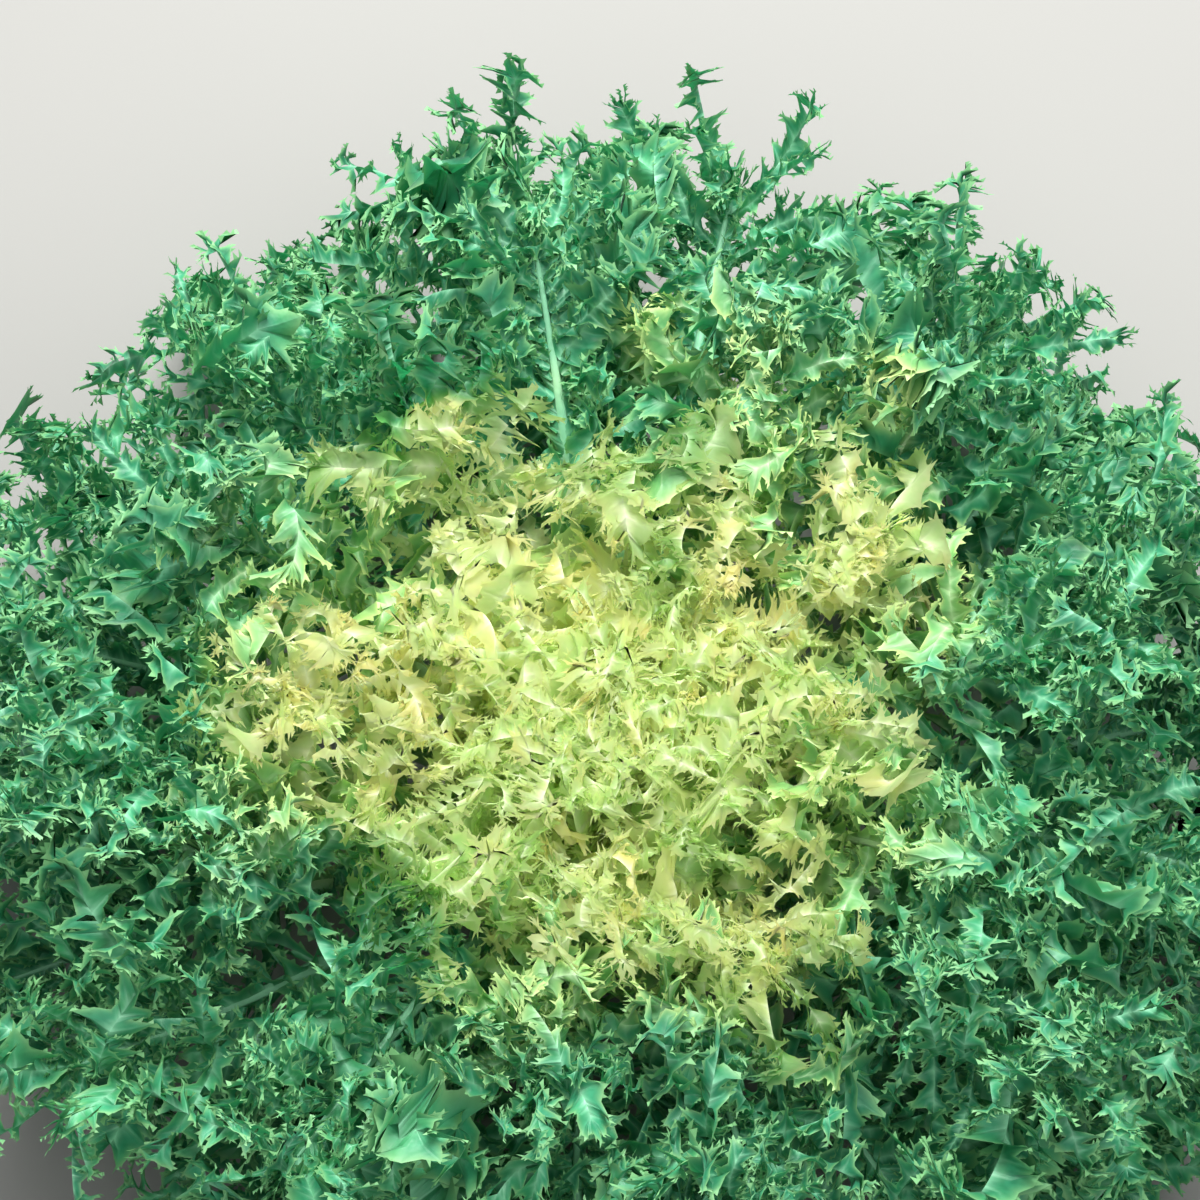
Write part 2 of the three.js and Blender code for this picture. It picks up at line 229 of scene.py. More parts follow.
@dataclass(frozen=True)
class HeadPlan:
    """The layout that the solids follow: a dome of leaf tips over one spiral of leaves on a stem."""

    radius: float = 0.203
    dome_height: float = 0.150
    dome_base: float = 0.012
    dome_power: float = 0.625
    last_tip_turn: float = 89.3
    leaf_count: int = 54
    golden_angle: float = 137.508
    start_azimuth: float = -15.0
    azimuth_jitter: float = 3.0
    sideways_drift: float = 6.0
    tip_jitter: float = 0.005
    stem_height: float = 0.056
    stem_foot_radius: float = 0.020
    stem_widest_radius: float = 0.0235
    stem_widest_height: float = 0.007
    stem_top_radius: float = 0.004
    root_heights: Pair = (0.011, 0.052)
    root_drop: float = 0.004
    root_gap: float = 0.0006
    start_angles: Pair = (11.0, 90.0)
    start_angle_power: float = 0.75
    tip_angles: Pair = (-24.0, 92.0)
    tip_angle_power: float = 2.0
    half_widths: Pair = (0.056, 0.012)
    width_power: float = 2.1
    heart_reach: float = 0.108
    lime_from: float = 0.56

    def rank(self, index: int) -> float:
        """Returns a leaf's place in the spiral, from 0 for the outermost to 1 for the innermost."""
        return index / (self.leaf_count - 1)

    def kind(self, index: int) -> Kind:
        """Works out the sort of a leaf, which goes by where it ends and by its rank.

        Args:
            index: The leaf's number in the spiral, from 0.

        Returns:
            Its sort.
        """
        path = self.path(index)
        tip = path.place(np.array([path.length, 0.0, 0.0]), self.stem_foot_radius)
        if float(np.hypot(tip[0], tip[1] - HEART_SHIFT)) < self.heart_reach:
            return Kind.HEART
        return Kind.GREEN if self.rank(index) < self.lime_from else Kind.LIME

    def spiral_angle(self, index: int) -> float:
        """Returns the azimuth of a leaf along the spiral."""
        return self.start_azimuth + index * self.golden_angle

    def half_width(self, index: int) -> float:
        """Returns half a leaf's width where it is widest."""
        return mix(*self.half_widths, self.rank(index) ** self.width_power)

    def stem_radius(self, height: float) -> float:
        """Returns the stem's radius at a height above its widest ring."""
        climb = (height - self.stem_widest_height) / (self.stem_height - self.stem_widest_height)
        return mix(self.stem_widest_radius, self.stem_top_radius, min(max(climb, 0.0), 1.0))

    def path(self, index: int) -> "LeafPath":
        """Works out where a leaf of the frame runs.

        Args:
            index: The leaf's number in the spiral, from 0.

        Returns:
            The leaf's path.
        """
        rank = self.rank(index)
        root_height = mix(*self.root_heights, rank)
        turn = math.radians(self.last_tip_turn * (1.0 - math.cos(math.pi * rank)) / 2.0)
        reach = self.radius - self.tip_jitter * (1.0 - rank) * draw(index, Purpose.TIP_RADIUS)
        azimuth = self.spiral_angle(index) + self.azimuth_jitter * sway(index, Purpose.AZIMUTH)
        return LeafPath(
            root=(self.stem_radius(root_height - self.root_drop) + self.root_gap, root_height),
            tip=(
                reach * math.cos(turn) ** self.dome_power,
                self.dome_base + self.dome_height * math.sin(turn) ** self.dome_power,
            ),
            start_angle=mix(*self.start_angles, rank**self.start_angle_power),
            tip_angle=mix(*self.tip_angles, rank**self.tip_angle_power),
            azimuth=math.radians(azimuth),
            drift=math.radians(self.sideways_drift * sway(index, Purpose.DRIFT)),
        )


@dataclass
class LeafPath:
    """The line that a leaf's rib follows, as radius and height about the stem, and the surface round it.

    Attributes:
        root: Radius and height of the leaf's foot.
        tip: Radius and height of its tip.
        start_angle: The angle above the horizon that it leaves the stem at.
        tip_angle: The angle above the horizon that it ends at.
        azimuth: Its direction from the stem, in radians.
        drift: How far its tip swings sideways, in radians.
        start_handle: How far it runs on at the first angle, as a share of the span.
        tip_handle: How far it comes in at the last angle.
        pieces: How many pieces it is measured in.
        corners: The curve's four corners.
        steps: The ends of the pieces on the curve, 0 to 1.
        run: The distances along it there.
        length: Its whole length.
    """

    root: Pair
    tip: Pair
    start_angle: float
    tip_angle: float
    azimuth: float
    drift: float
    start_handle: float = 0.42
    tip_handle: float = 0.34
    pieces: int = 200
    corners: np.ndarray = field(init=False)
    steps: np.ndarray = field(init=False)
    run: np.ndarray = field(init=False)
    length: float = field(init=False)

    def __post_init__(self) -> None:
        """Draws the path and measures it."""
        start, end = np.array(self.root), np.array(self.tip)
        span = float(np.linalg.norm(end - start))
        self.corners = np.array([
            start,
            start + self.start_handle * span * self._heading(self.start_angle),
            end - self.tip_handle * span * self._heading(self.tip_angle),
            end,
        ])
        self.steps = np.linspace(0.0, 1.0, self.pieces + 1)
        points, _ = self._curve(self.steps)
        self.run = np.concatenate([[0.0], np.cumsum(np.linalg.norm(np.diff(points, axis=0), axis=1))])
        self.length = float(self.run[-1])

    @staticmethod
    def _heading(angle: float) -> np.ndarray:
        """Returns the unit vector at an angle above the horizon."""
        return np.array([math.cos(math.radians(angle)), math.sin(math.radians(angle))])

    def _curve(self, step: np.ndarray) -> tuple[np.ndarray, np.ndarray]:
        """Evaluates the curve.

        Args:
            step: Places on the curve, 0 to 1.

        Returns:
            The points there and the unit tangents there.
        """
        u = np.asarray(step, float)[..., None]
        a, b, c, d = self.corners
        v = 1.0 - u
        point = v**3 * a + 3 * v**2 * u * b + 3 * v * u**2 * c + u**3 * d
        slope = 3 * v**2 * (b - a) + 6 * v * u * (c - b) + 3 * u**2 * (d - c)
        return point, slope / np.linalg.norm(slope, axis=-1, keepdims=True)

    def place(self, flat: np.ndarray, least_wrap: float) -> np.ndarray:
        """Lays points of the flat leaf on the surface that it wraps round.

        Args:
            flat: Points as distance along the rib, distance aside from it and lift off the blade.
            least_wrap: The least radius that the surface is wrapped round.

        Returns:
            The same points in the head.
        """
        along, aside, lift = flat[..., 0], flat[..., 1], flat[..., 2]
        inside = np.clip(along, 0.0, self.length)
        point, tangent = self._curve(np.interp(inside, self.run, self.steps))
        past = along - inside
        radius = point[..., 0] + past * tangent[..., 0] - lift * tangent[..., 1]
        height = point[..., 1] + past * tangent[..., 1] + lift * tangent[..., 0]
        wrap = np.maximum(point[..., 0], least_wrap)
        turn = aside / wrap
        outward = radius - wrap * (1.0 - np.cos(turn))
        sideways = wrap * np.sin(turn)
        azimuth = self.azimuth + self.drift * (inside / self.length) ** 2
        return np.stack([
            outward * np.cos(azimuth) - sideways * np.sin(azimuth),
            outward * np.sin(azimuth) + sideways * np.cos(azimuth),
            height,
        ], axis=-1)


class Blade:
    """A mesh that grows grid by grid, with what its shader needs to know at each point."""

    weld: ClassVar[float] = 1e-6

    def __init__(self) -> None:
        """Starts an empty blade."""
        self.points: list[np.ndarray] = []
        self.marks: list[np.ndarray] = []
        self.places: list[np.ndarray] = []
        self.quads: list[np.ndarray] = []
        self.count = 0

    def grid(
        self, points: np.ndarray, marks: np.ndarray, places: np.ndarray, kept: np.ndarray | None = None
    ) -> None:
        """Adds grids of points as quads.

        Args:
            points: The points, with rows, columns and 3 last, and any number of grids before.
            marks: Distance from the nearest vein, distance out and closeness to the rib at each point.
            places: Distance along, distance aside and the tone at each point.
            kept: Which quads there are, where some are holes.
        """
        rows, columns = points.shape[-3:-1]
        number = np.arange(points.size // 3).reshape(-1, rows, columns) + self.count
        corners = [number[:, :-1, :-1], number[:, :-1, 1:], number[:, 1:, 1:], number[:, 1:, :-1]]
        quads = np.stack(corners, axis=-1).reshape(-1, 4)
        self.quads.append(quads if kept is None else quads[kept.ravel()])
        self.points.append(points.reshape(-1, 3))
        self.marks.append(marks.reshape(-1, 3))
        self.places.append(places.reshape(-1, 3))
        self.count += points.size // 3

    def mesh(self, name: str) -> bpy.types.Mesh:
        """Welds the grids where they meet and makes one smooth mesh of them.

        Args:
            name: The mesh's name.

        Returns:
            The mesh, with its marks and places as attributes.
        """
        points = np.concatenate(self.points)
        keys = np.round(points / self.weld).astype(np.int64)
        _, first, group = np.unique(keys, axis=0, return_index=True, return_inverse=True)
        group = group.reshape(-1)
        quads = group[np.concatenate(self.quads)]
        faces = []
        for quad in quads.tolist():
            corners = list(dict.fromkeys(quad))
            if len(corners) >= 3:
                faces.append(corners)
        mesh = bpy.data.meshes.new(name)
        mesh.from_pydata(points[first].tolist(), [], faces)
        for label, parts in (("leaf_marks", self.marks), ("leaf_place", self.places)):
            values = np.concatenate(parts)[first]
            attribute = mesh.attributes.new(label, "FLOAT_VECTOR", "POINT")
            attribute.data.foreach_set("vector", values.astype(np.float32).ravel())
        distance = np.hypot(points[first, 0], points[first, 1] - HEART_SHIFT)
        for x, y, width, further in TONE_SPOTS:
            away = np.hypot(points[first, 0] - x, points[first, 1] - y)
            distance += further * (1.0 - smoothstep(away, SPOT_CORE * width, width))
        attribute = mesh.attributes.new("leaf_distance", "FLOAT", "POINT")
        attribute.data.foreach_set("value", distance.astype(np.float32))
        mesh.shade_smooth()
        mesh.update()
        return mesh


@dataclass
class Bend:
    """How strands leave what carries them and bend, with one entry for each strand, in degrees.

    Attributes:
        heading: The flat direction that a strand starts in.
        swerve: How far it bends sideways.
        tilt: How far it rises.
        curl: How much further it bends up towards its end.
        twist: How far it turns about its own middle by its end.
    """

    heading: np.ndarray
    swerve: np.ndarray
    tilt: np.ndarray
    curl: np.ndarray
    twist: np.ndarray

    # Each bend grows with a power of the share along the strand; the tilt is whole by its share.
    swerve_power: float = 1.3
    tilt_share: float = 0.35
    tilt_power: float = 0.7
    curl_power: float = 1.5
    twist_power: float = 0.8

    def follow(self, start: np.ndarray, length: np.ndarray, steps: np.ndarray) -> "Strands":
        """Follows the strands from their starts.

        Args:
            start: Where each strand starts.
            length: Each strand's length.
            steps: The places along a strand that are wanted, from 0 to 1.

        Returns:
            The strands.
        """
        share = steps[None, :]
        bearing = np.radians(self.heading[:, None] + self.swerve[:, None] * share**self.swerve_power)
        rise = self.tilt[:, None] * np.minimum(share / self.tilt_share, 1.0) ** self.tilt_power
        pitch = np.radians(rise + self.curl[:, None] * share**self.curl_power)
        roll = np.radians(self.twist[:, None] * share**self.twist_power)[..., None]
        level = np.stack([-np.sin(bearing), np.cos(bearing), np.zeros_like(bearing)], axis=-1)
        along = np.stack([
            np.cos(pitch) * np.cos(bearing), np.cos(pitch) * np.sin(bearing), np.sin(pitch),
        ], axis=-1)
        above = np.cross(along, level)
        run = (along[:, 1:] + along[:, :-1]) / 2.0 * np.diff(steps)[None, :, None] * length[:, None, None]
        middle = np.repeat(start[:, None, :], len(steps), axis=1)
        middle[:, 1:] += np.cumsum(run, axis=1)
        aside = np.cos(roll) * level + np.sin(roll) * above
        above = np.cos(roll) * above - np.sin(roll) * level
        return Strands(length, steps, np.concatenate([middle, along, aside, above], axis=-1))


@dataclass
class Strands:
    """Bent strands.

    Attributes:
        length: Each one's length.
        steps: The places along a strand, from 0 to 1, that the table has rows for.
        table: Each one's middle line, and its directions along, aside and above, three columns each.
    """

    length: np.ndarray
    steps: np.ndarray
    table: np.ndarray

    def place(self, number: int, local: np.ndarray) -> np.ndarray:
        """Moves points from beside one straight strand to beside the bent one.

        Args:
            number: The strand's number.
            local: Points as distance along the strand, aside from it and above it.

        Returns:
            The points in the space of what carries the strand.
        """
        step = local[..., 0] / self.length[number]
        inside = np.clip(step, 0.0, 1.0)
        columns = self.table[number].T
        at = np.stack([np.interp(inside, self.steps, column) for column in columns], axis=-1)
        middle, along, aside, above = np.split(at, 4, axis=-1)
        past = ((step - inside) * self.length[number])[..., None]
        return middle + along * past + aside * local[..., 1:2] + above * local[..., 2:3]


@dataclass
class Ruffle:
    """The blade along one straight rib: one ruffled sheet, up one side, round the end and down the other.

    Attributes:
        frill: How the leaf is cut and curled.
        rng: The leaf's random draws.
    """

    frill: Frill
    rng: np.random.Generator

    # The rows from the rib out, each finger's columns with how far out they reach, and which of those
    # columns is its point.
    rows: ClassVar[np.ndarray] = np.array([0.0, 0.45, 1.0])
    columns: ClassVar[np.ndarray] = np.array([0.0, 0.3, 0.52, 0.74])
    profile: ClassVar[np.ndarray] = np.array([0.0, 0.48, 1.0, 0.5])
    point: int = 2

    # A place on the sheet is 1 at one foot, 0 at the lobe's end and -1 at the other foot. Within the
    # shoulder it fans round the end. Bearings are from the lobe's rib, and reaches are shares.
    shoulder: float = 0.24
    bearings: tuple[float, ...] = (0.0, 46.0, 80.0)
    reach_places: tuple[float, ...] = (0.0, 0.25, 0.6, 1.0)
    reaches: tuple[float, ...] = (0.9, 1.0, 0.92, 0.5)

    # How the fingers are spread and differ, as shares, and how the blade waves up and down.
    least_fingers: int = 5
    crowding: float = 2.3
    widths: Pair = (0.65, 1.35)
    sizes: Pair = (0.6, 1.3)
    hooks: Pair = (0.2, 1.3)
    more_hook: float = 0.15
    first_rise: float = 12.0
    waves: Pair = (2.6, 4.1)
    turned_out: float = 0.3
    rib_fade: float = 1.6

    # The teeth: where they stand between two columns, and their size, lean and lift, as shares.
    tooth_places: Pair = (0.35, 0.85)
    tooth_shift: float = 0.06
    tooth_halves: Pair = (0.16, 0.28)
    tooth_heights: Pair = (0.5, 1.5)
    tooth_leans: Pair = (0.1, 0.9)
    tooth_lift: float = 0.6
    tooth_marks: Pair = (0.96, 1.1)

    def _edge(self, fingers: int) -> tuple[np.ndarray, np.ndarray]:
        """Works out the columns of the sheet.

        Args:
            fingers: The number of fingers round the edge.

        Returns:
            Each column's place from 1 at one foot to -1 at the other, and its place in fingers.
        """
        count = np.append((np.arange(fingers)[:, None] + self.columns[None, :]).ravel(), float(fingers))
        widths = self.rng.uniform(*self.widths, fingers)
        ends = np.concatenate([[0.0], np.cumsum(widths)]) / widths.sum()
        return 1.0 - 2.0 * np.interp(count, np.arange(fingers + 1.0), ends), count

    def sheet(self, first: float, last: float, reach: float) -> tuple[np.ndarray, np.ndarray, np.ndarray]:
        """Shapes the sheet.

        Args:
            first: Where it starts along the rib.
            last: Where the rib ends.
            reach: How far it reaches from the rib.

        Returns:
            The sheet's points, their marks, and which of its quads aren't holes.
        """
        frill, rng, rows = self.frill, self.rng, self.rows
        fingers = max(self.least_fingers, int(round(self.crowding * (last - first) / frill.finger)))
        place, count = self._edge(fingers)
        number = np.minimum(count.astype(int), fingers - 1)
        wide = np.append(np.tile(self.profile, fingers), 0.0)
        alternate = np.where(number % 2 == 0, 1.0, -1.0)
        size = rng.uniform(*self.sizes, fingers)[number]
        hook = frill.hook * (rng.uniform(*self.hooks, fingers)[number] * alternate + self.more_hook)
        swerve = frill.swerve * rng.uniform(-1.0, 1.0, fingers)[number]

        along = first + (last - first) * np.minimum((1.0 - np.abs(place)) / (1.0 - self.shoulder), 1.0)
        bearing = np.interp(np.abs(place), [0.0, self.shoulder, 1.0], self.bearings) * np.sign(place)
        shape = np.interp(np.abs(place), self.reach_places, self.reaches)
        span = reach * shape * (1.0 - frill.cut + frill.cut * wide * size)
        middle = (rows[1:] + rows[:-1])[None, :] / 2.0
        phases = rng.uniform(0.0, 2.0 * math.pi, len(self.waves))
        slow, fast = (
            frill.ruffle * np.sin(wave * math.pi * place + phase) for wave, phase in zip(self.waves, phases)
        )
        rise = self.first_rise + slow[:, None] + middle * (hook * wide + fast)[:, None]
        turn = bearing[:, None] * (1.0 - self.turned_out * middle) + (swerve * wide)[:, None] * middle
        turn, rise = np.radians(turn), np.radians(rise)
        moves = np.stack([np.cos(rise) * np.cos(turn), np.cos(rise) * np.sin(turn), np.sin(rise)], axis=-1)
        points = np.zeros((len(place), len(rows), 3))
        points[:, :, 0] = along[:, None]
        points[:, 1:] += np.cumsum(moves * np.diff(rows)[None, :, None] * span[:, None, None], axis=1)
        vein = np.abs(count - number - 0.5) * 2.0
        grid = np.ones((len(place), len(rows)))
        near_rib = (1.0 - rows[None, :]) ** self.rib_fade
        marks = np.stack([grid * vein[:, None], grid * rows[None, :], grid * near_rib], axis=-1)
        kept = np.ones((len(place) - 1, len(rows) - 1), bool)
        holed = (rng.uniform(0.0, 1.0, fingers) < frill.holes)[number[:-1]]
        kept[:, 0] = ~(holed & (np.arange(len(place) - 1) % len(self.columns) >= self.point))
        return points, marks, kept

    def teeth(self, points: np.ndarray) -> tuple[np.ndarray, np.ndarray]:
        """Sets pointed teeth along the sheet's edge.

        Args:
            points: The sheet's points.

        Returns:
            The teeth's points and marks, as grids of two rows and two columns whose last row is one point.
        """
        frill, rng = self.frill, self.rng
        near, far = points[:-1, -1], points[1:, -1]
        inner = (points[:-1, -2] + points[1:, -2]) / 2.0
        edge = far - near
        length = np.maximum(np.linalg.norm(edge, axis=-1, keepdims=True), TINY)
        way = edge / length
        out = (near + far) / 2.0 - inner
        out -= (out * way).sum(axis=-1, keepdims=True) * way
        out /= np.maximum(np.linalg.norm(out, axis=-1, keepdims=True), TINY)
        up = np.cross(way, out)
        number = np.arange(len(near)) % len(self.columns)
        towards = np.where(number < self.point, 1.0, -1.0)[:, None]
        grids = []
        each = (len(near), 1)
        for share, keep in zip(self.tooth_places, (number > 0, number == self.point - 1)):
            half = rng.uniform(*self.tooth_halves, each)
            middle = near + edge * (share + rng.uniform(-self.tooth_shift, self.tooth_shift, each))
            tall = frill.tooth * rng.uniform(*self.tooth_heights, each)
            lean = towards * rng.uniform(*self.tooth_leans, each)
            lift = rng.uniform(-self.tooth_lift, self.tooth_lift, each)
            tip = middle + (out + way * lean + up * lift) * tall
            base = np.stack([middle - edge * half, middle + edge * half], axis=1)
            grids.append(np.stack([base, np.stack([tip, tip], axis=1)], axis=1)[keep])
        teeth = np.concatenate(grids)
        marks = np.zeros(teeth.shape)
        marks[..., 0] = 1.0
        marks[:, :, :, 1] = np.array(self.tooth_marks)[None, :, None]
        return teeth, marks


@dataclass
class FrilledLeaf:
    """One leaf: a stalk and rib with a ruffled band beside it, and fingered lobes along both sides.

    Attributes:
        path: The line and surface that it lies on.
        kind: Its sort.
        half_width: Half its width where it is widest.
        seed: The seed of its own random draws.
        rib_widths: Half the rib's width at the foot and at the tip.
        rib_depths: Half its thickness there.
        first_lobe: Where the first lobes leave the rib, as a share of the path.
        last_lobe: Where the last ones leave it.
        leans: How far the first and last lobes lean forward.
        floor: The lowest height that the leaf may reach.
        ceiling: The height where it is held back, and the height that it nears.
        fence: The radius where it is held back, and the radius that it nears.
    """

    path: LeafPath
    kind: Kind
    half_width: float
    seed: int
    rib_widths: Pair = (0.0042, 0.0009)
    rib_depths: Pair = (0.0022, 0.0005)
    first_lobe: float = 0.3
    last_lobe: float = 0.94
    leans: Pair = (12.0, 44.0)
    floor: float = 0.0008
    ceiling: Pair = (0.160, 0.174)
    fence: Pair = (0.216, 0.234)
    rng: np.random.Generator = field(init=False)
    frill: Frill = field(init=False)
    leaf_tone: float = field(init=False)
    phases: np.ndarray = field(init=False)

    # The rib and its ruffled band: their mesh, where along the leaf the rib narrows, thins and closes, its
    # limits as shares of the leaf's half width, and where the band starts and how wide it is, as shares of
    # where the lobes start and of the half width.
    band_rows: int = 32
    rib_sides: int = 8
    rib_end: float = 0.985
    rib_closes: float = 0.98
    closed_width: float = 0.05
    rib_sinks: float = 0.6
    rib_narrows: Pair = (0.15, 0.95)
    rib_thins: Pair = (0.1, 0.9)
    widest_rib: float = 0.2
    deepest_rib: float = 0.1
    band_start: float = 0.7
    band_width: float = 0.26

    # Along the leaf the lobes grow and then shorten, from one share of their length to another and between
    # two places. Then how the lobes crowd and vary, and the fan of them at the leaf's end.
    growth: tuple[float, ...] = (0.3, 1.0, 0.28, 0.68)
    shortening: tuple[float, ...] = (1.0, 0.88, 0.74, 0.95)
    lobe_reach: float = 0.85
    reaches: Pair = (0.6, 1.15)
    leasts: Pair = (0.8, 1.2)
    widths: Pair = (0.85, 1.25)
    lobe_start: float = 0.02
    root_place: float = 0.6
    crowding_power: float = 0.65
    share_shift: float = 0.015
    lean_shift: float = 10.0
    end_share: float = 0.965
    end_headings: tuple[float, ...] = (-54.0, -27.0, 0.0, 27.0, 54.0)
    end_shift: float = 9.0
    lobe_swerve: float = 40.0
    tilts: Pair = (0.3, 1.5)
    curls: Pair = (-0.9, 1.2)
    lobe_tone: float = 0.4
    lobe_steps: ClassVar[np.ndarray] = np.linspace(0.0, 1.0, 17)

    # Between these two places the fingers get finer, from this many times as coarse, and this share of the
    # lobes is broad.
    finer: Pair = (0.54, 0.82)
    coarsest: ClassVar[dict] = {Kind.GREEN: 3.2, Kind.LIME: 2.6, Kind.HEART: 2.0, Kind.BUD: 2.0}
    broad_share: ClassVar[dict] = {Kind.GREEN: 0.06, Kind.LIME: 0.08, Kind.HEART: 0.17, Kind.BUD: 0.12}

    # Two slow rolls run along the blade, and grow between these two places.
    rolls: Pair = (8.0, 13.0)
    rolls_grow: Pair = (0.15, 0.7)

    def __post_init__(self) -> None:
        """Looks up the leaf's frill and starts its random draws."""
        self.frill = FRILLS[self.kind]
        self.rng = np.random.default_rng(SEED + self.seed)
        self.leaf_tone = float(self.rng.uniform(0.0, 1.0))
        # The rolls take the first two of these four phases. All four keep their place among the draws.
        self.phases = self.rng.uniform(0.0, 2.0 * math.pi, 4)

    def rib_half(self, share: Number) -> np.ndarray:
        """Returns half the rib's width along it."""
        widest = min(self.rib_widths[0], self.widest_rib * self.half_width)
        return ramp(share, widest, self.rib_widths[1], *self.rib_narrows)

    def reach(self, share: Number) -> np.ndarray:
        """Returns how far the lobes reach from the rib."""
        return self.half_width * ramp(share, *self.growth) * ramp(share, *self.shortening) * self.frill.size

    def _roll(self, flat: np.ndarray) -> np.ndarray:
        """Adds the slow rolls of the whole blade to the lift of flat points.

        Args:
            flat: Points of the flat leaf.

        Returns:
            The same points, rolled.
        """
        share = flat[..., 0] / self.path.length
        across = flat[..., 1] / self.half_width
        grown = smoothstep(share, *self.rolls_grow)
        along, aside = self.rolls
        roll = np.sin(along * share + self.phases[0]) + np.sin(aside * share + self.phases[1]) * across
        rolled = flat.copy()
        rolled[..., 2] += self.frill.wave * grown * roll
        return rolled

    def _add(
        self, blade: Blade, flat: np.ndarray, marks: np.ndarray, tone: float, kept: np.ndarray | None = None
    ) -> None:
        """Lays flat grids on the leaf's surface, keeps them off the floor and adds them to the blade.

        Args:
            blade: The mesh that they are added to.
            flat: Their points in the flat leaf.
            marks: Their marks.
            tone: Their tone.
            kept: Which quads there are, where some are holes.
        """
        points = self.path.place(self._roll(flat), self.frill.wrap)
        points[..., 2] = ease_off(np.maximum(points[..., 2], self.floor), *self.ceiling)
        far = np.hypot(points[..., 0], points[..., 1])
        points[..., :2] *= (ease_off(far, *self.fence) / np.maximum(far, TINY))[..., None]
        places = np.stack([flat[..., 0], flat[..., 1], np.full(flat.shape[:-1], tone)], axis=-1)
        blade.grid(points, marks, places, kept)

    def _rib_and_band(self, blade: Blade) -> None:
        """Adds the stalk and rib as one tapering rounded rod, and the ruffled band that it carries.

        Args:
            blade: The mesh that they are added to.
        """
        share = np.linspace(0.0, self.rib_end, self.band_rows)[:, None]
        angle = np.linspace(0.0, 2.0 * math.pi, self.rib_sides + 1)[None, :]
        half = self.rib_half(share) * np.where(share > self.rib_closes, self.closed_width, 1.0)
        foot, tip = self.rib_depths
        depth = ramp(share, min(foot, self.deepest_rib * self.half_width), tip, *self.rib_thins)
        along = np.broadcast_to(share * self.path.length, (self.band_rows, self.rib_sides + 1))
        lift = depth * np.sin(angle) - depth * self.rib_sinks
        flat = np.stack([along, half * np.cos(angle), lift], axis=-1)
        marks = np.zeros(flat.shape)
        marks[..., 2] = 1.0
        self._add(blade, flat, marks, self.leaf_tone)

        ruffle = Ruffle(self.frill, self.rng)
        first = self.first_lobe * self.band_start * self.path.length
        flat, marks, kept = ruffle.sheet(first, self.path.length, self.band_width * self.half_width)
        teeth, tips = ruffle.teeth(flat)
        self._add(blade, flat, marks, self.leaf_tone, kept)
        self._add(blade, teeth, tips, self.leaf_tone)

    def _lobe(self, blade: Blade, lobes: Strands, number: int, share: float) -> None:
        """Adds one lobe.

        Args:
            blade: The mesh that it is added to.
            lobes: All the leaf's lobes.
            number: This one's number.
            share: Where it leaves the rib, as a share of the path.
        """
        rng = self.rng
        if rng.uniform() < self.broad_share[self.kind]:
            frill = replace(self.frill, **BROAD)
        else:
            coarser = float(ramp(share, self.coarsest[self.kind], 1.0, *self.finer))
            frill = replace(self.frill, finger=self.frill.finger * coarser)
        length = float(lobes.length[number])
        reach = length * frill.slim * rng.uniform(*self.widths)
        own = 1.0 - self.lobe_tone
        tone = float(np.clip(self.leaf_tone * own + rng.uniform(0.0, self.lobe_tone), 0.0, 1.0))
        ruffle = Ruffle(frill, rng)
        local, marks, kept = ruffle.sheet(self.lobe_start * length, length, reach)
        teeth, tips = ruffle.teeth(local)
        self._add(blade, lobes.place(number, local), marks, tone, kept)
        self._add(blade, lobes.place(number, teeth), tips, tone)

    def grow(self, blade: Blade) -> None:
        """Adds the whole leaf to a mesh.

        Args:
            blade: The mesh.
        """
        frill, rng, length = self.frill, self.rng, self.path.length
        self._rib_and_band(blade)
        spread = np.linspace(0.0, 1.0, frill.pairs) ** self.crowding_power
        middle = mix(self.first_lobe, self.last_lobe, spread)
        side = np.repeat([1.0, -1.0], frill.pairs)
        shift = self.share_shift
        share = np.tile(middle, 2) + shift * side + rng.uniform(-shift, shift, 2 * frill.pairs)
        lean = mix(*self.leans, share) + rng.uniform(-self.lean_shift, self.lean_shift, len(share))
        ends = len(self.end_headings)
        end_shifts = rng.uniform(-self.end_shift, self.end_shift, ends)
        heading = np.append(side * (90.0 - lean), np.array(self.end_headings) + end_shifts)
        share = np.append(share, np.full(ends, self.end_share))
        side = np.append(side, np.zeros(ends))
        count = len(share)
        turn = np.where(np.arange(count) % 2 == 0, 1.0, -1.0)
        bend = Bend(
            heading=heading,
            swerve=rng.uniform(-self.lobe_swerve, self.lobe_swerve, count),
            tilt=frill.cup + turn * frill.tilt * rng.uniform(*self.tilts, count),
            curl=frill.curl * rng.uniform(*self.curls, count),
            twist=frill.twist * rng.uniform(-1.0, 1.0, count),
        )
        aside = side * self.rib_half(share) * self.root_place
        start = np.stack([share * length, aside, np.zeros(count)], axis=-1)
        reach = self.lobe_reach * self.reach(share) * rng.uniform(*self.reaches, count)
        least = frill.least * rng.uniform(*self.leasts, count)
        lobes = bend.follow(start, np.maximum(reach, least), self.lobe_steps)
        for number in range(count):
            self._lobe(blade, lobes, number, float(share[number]))


def math_operator(operation: str) -> tuple[Callable[..., "Wire"], Callable[..., "Wire"]]:
    """Makes an operator of Wire out of a Math node, and its form for a number on the left.

    Args:
        operation: The Math node's operation.

    Returns:
        The two methods.
    """

    def forward(wire: "Wire", other: "Wire | float") -> "Wire":
        """Works on a wire and what stands to the right of it."""
        return wire.board.add("ShaderNodeMath", {"operation": operation}, {0: wire, 1: other})

    def reflected(wire: "Wire", other: float) -> "Wire":
        """Works on a wire and the number to the left of it."""
        return wire.board.add("ShaderNodeMath", {"operation": operation}, {0: other, 1: wire})

    return forward, reflected


